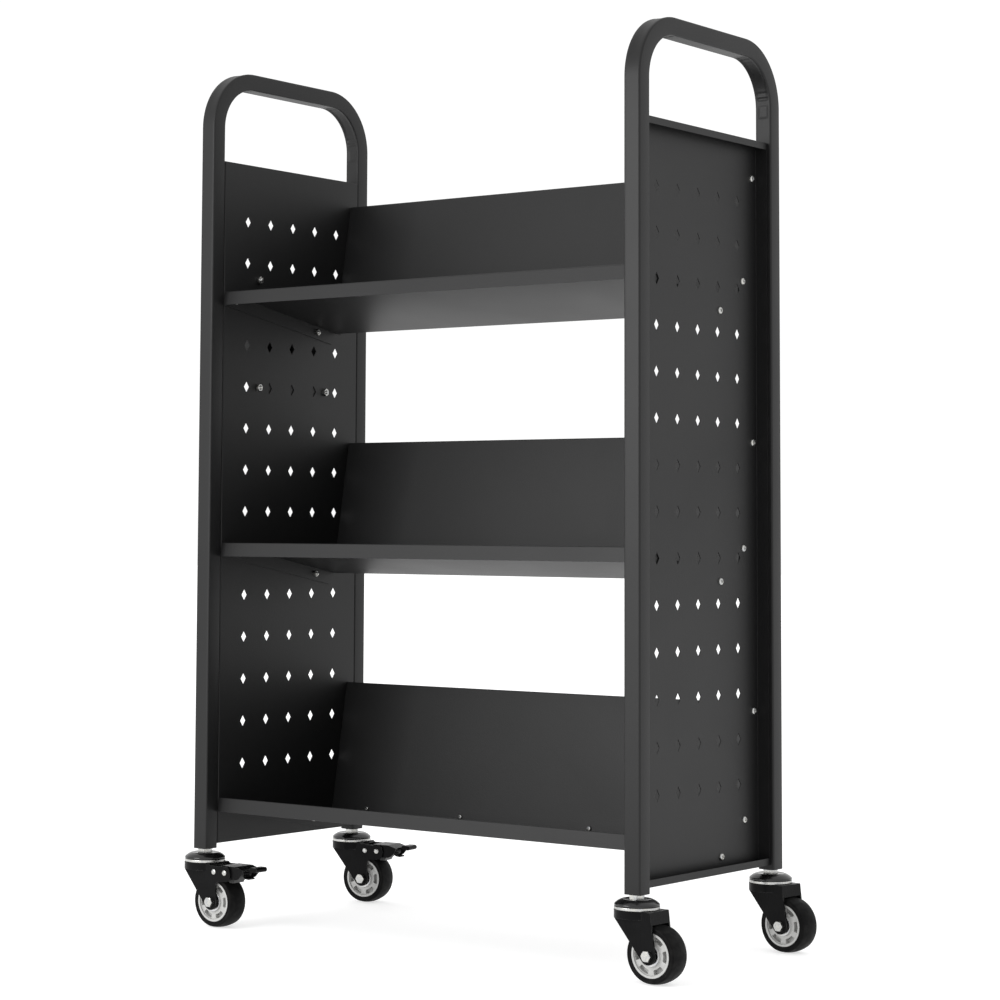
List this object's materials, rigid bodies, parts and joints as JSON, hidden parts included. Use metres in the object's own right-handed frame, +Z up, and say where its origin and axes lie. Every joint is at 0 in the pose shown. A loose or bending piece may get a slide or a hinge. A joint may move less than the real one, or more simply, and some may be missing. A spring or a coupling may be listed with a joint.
{
  "type": "book cart",
  "caption": "Single-sided mobile book cart: sloped shelves between perforated end panels in bent tube end frames, an end pocket, and swivel casters with brakes at one end.",
  "frame": {"origin": "on the floor under the middle of the cart's bounding box, with the wheels parked as shown", "axes": "+X along the shelves towards the end with no brakes, +Y from the open front to the back, +Z up"},
  "size_m": [0.885, 0.4008, 1.262],
  "materials": {
    "black_powder_coat": "satin black powder coat, fine grain",
    "black_enamel": "semi-gloss black enamel",
    "zinc_plate": "bright zinc plate",
    "black_screw": "black oxide",
    "bearing_steel": "ground bearing steel",
    "grey_plastic": "light grey moulded plastic",
    "black_rubber": "matt black rubber",
    "shoe_plastic": "moulded black plastic"
  },
  "bodies": {
    "root": {"left_end_frame": "black_powder_coat", "right_end_frame": "black_powder_coat", "left_end_panel": "black_powder_coat", "right_end_panel": "black_powder_coat", "top_shelf_base": "black_powder_coat", "top_shelf_back": "black_powder_coat", "middle_shelf_base": "black_powder_coat", "middle_shelf_back": "black_powder_coat", "bottom_shelf_base": "black_powder_coat", "bottom_shelf_back": "black_powder_coat", "shelf_bolts": "zinc_plate", "shelf_nuts": "zinc_plate", "joint_screws": "black_screw", "joint_nuts": "zinc_plate", "end_pocket": "black_powder_coat", "pocket_bolts": "zinc_plate", "pocket_nuts": "zinc_plate", "post_sockets": "zinc_plate", "caster_stems": "zinc_plate", "stem_nuts": "zinc_plate", "caster_caps": "black_enamel", "swivel_balls": "bearing_steel"},
    "front_left_caster": {"front_left_fork": "black_enamel", "front_left_race_ring": "zinc_plate", "front_left_axle": "zinc_plate", "front_left_axle_nut": "zinc_plate", "front_left_axle_sleeve": "zinc_plate", "front_left_brake_pins": "zinc_plate"},
    "front_left_wheel": {"front_left_wheel_rim": "grey_plastic", "front_left_tyre": "black_rubber", "front_left_wheel_bearings": "bearing_steel"},
    "front_left_pedal": {"front_left_brake_pedal": "black_enamel", "front_left_brake_shoe": "shoe_plastic"},
    "rear_left_caster": {"rear_left_fork": "black_enamel", "rear_left_race_ring": "zinc_plate", "rear_left_axle": "zinc_plate", "rear_left_axle_nut": "zinc_plate", "rear_left_axle_sleeve": "zinc_plate", "rear_left_brake_pins": "zinc_plate"},
    "rear_left_wheel": {"rear_left_wheel_rim": "grey_plastic", "rear_left_tyre": "black_rubber", "rear_left_wheel_bearings": "bearing_steel"},
    "rear_left_pedal": {"rear_left_brake_pedal": "black_enamel", "rear_left_brake_shoe": "shoe_plastic"},
    "front_right_caster": {"front_right_fork": "black_enamel", "front_right_race_ring": "zinc_plate", "front_right_axle": "zinc_plate", "front_right_axle_nut": "zinc_plate", "front_right_axle_sleeve": "zinc_plate"},
    "front_right_wheel": {"front_right_wheel_rim": "grey_plastic", "front_right_tyre": "black_rubber", "front_right_wheel_bearings": "bearing_steel"},
    "rear_right_caster": {"rear_right_fork": "black_enamel", "rear_right_race_ring": "zinc_plate", "rear_right_axle": "zinc_plate", "rear_right_axle_nut": "zinc_plate", "rear_right_axle_sleeve": "zinc_plate"},
    "rear_right_wheel": {"rear_right_wheel_rim": "grey_plastic", "rear_right_tyre": "black_rubber", "rear_right_wheel_bearings": "bearing_steel"}
  },
  "joints": [
    {"name": "front_left_swivel", "type": "hinge", "parent": "root", "child": "front_left_caster", "pos_m": [-0.3745, -0.1695, 0.0941], "axis": [0, 0, 1], "continuous": true},
    {"name": "front_left_roll", "type": "hinge", "parent": "front_left_caster", "child": "front_left_wheel", "pos_m": [-0.344, -0.16977, 0.0375], "axis": [0.0087, 1, 0], "continuous": true},
    {"name": "front_left_brake", "type": "hinge", "parent": "front_left_caster", "child": "front_left_pedal", "pos_m": [-0.317, -0.17, 0.081], "axis": [0.0087, 1, 0], "range_deg": [0, 12]},
    {"name": "rear_left_swivel", "type": "hinge", "parent": "root", "child": "rear_left_caster", "pos_m": [-0.3745, 0.1695, 0.0941], "axis": [0, 0, 1], "continuous": true},
    {"name": "rear_left_roll", "type": "hinge", "parent": "rear_left_caster", "child": "rear_left_wheel", "pos_m": [-0.3443, 0.17374, 0.0375], "axis": [-0.1392, 0.9903, 0], "continuous": true},
    {"name": "rear_left_brake", "type": "hinge", "parent": "rear_left_caster", "child": "rear_left_pedal", "pos_m": [-0.31756, 0.1775, 0.081], "axis": [-0.1392, 0.9903, 0], "range_deg": [0, 12]},
    {"name": "front_right_swivel", "type": "hinge", "parent": "root", "child": "front_right_caster", "pos_m": [0.3745, -0.1695, 0.0941], "axis": [0, 0, 1], "continuous": true},
    {"name": "front_right_roll", "type": "hinge", "parent": "front_right_caster", "child": "front_right_wheel", "pos_m": [0.40499, -0.1703, 0.0375], "axis": [0.0262, 0.9997, 0], "continuous": true},
    {"name": "rear_right_swivel", "type": "hinge", "parent": "root", "child": "rear_right_caster", "pos_m": [0.3745, 0.1695, 0.0941], "axis": [0, 0, 1], "continuous": true},
    {"name": "rear_right_roll", "type": "hinge", "parent": "rear_right_caster", "child": "rear_right_wheel", "pos_m": [0.40483, 0.16631, 0.0375], "axis": [0.1045, 0.9945, 0], "continuous": true}
  ]
}
